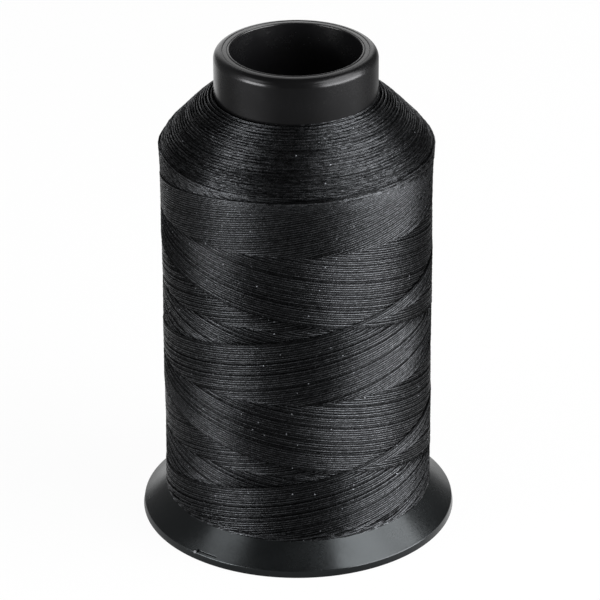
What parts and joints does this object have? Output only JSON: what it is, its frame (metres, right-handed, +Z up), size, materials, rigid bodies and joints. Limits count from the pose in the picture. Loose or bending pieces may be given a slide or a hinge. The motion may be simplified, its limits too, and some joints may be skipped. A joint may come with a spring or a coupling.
{
  "type": "spool of sewing thread",
  "caption": "Large plastic spool with an open bore, flared ribbed base and pressed-on top collar, fully wound with black sewing thread.",
  "frame": {"origin": "centre of the base, on the plane that the rim stands on", "axes": "+Z up along the bore; -Y is the front; the thread catch is on the rim, on the front's left"},
  "size_m": [0.0825, 0.0824, 0.1306],
  "materials": {
    "spool_plastic": "black moulded plastic, gloss",
    "collar_plastic": "black moulded plastic, polished",
    "base_plastic": "black moulded plastic, satin",
    "thread": "black bonded filament sewing thread with a slight sheen"
  },
  "bodies": {
    "root": {"barrel": "spool_plastic", "top_collar": "collar_plastic", "base_flange": "base_plastic", "thread_body": "thread", "outer_thread": "thread"}
  },
  "joints": []
}
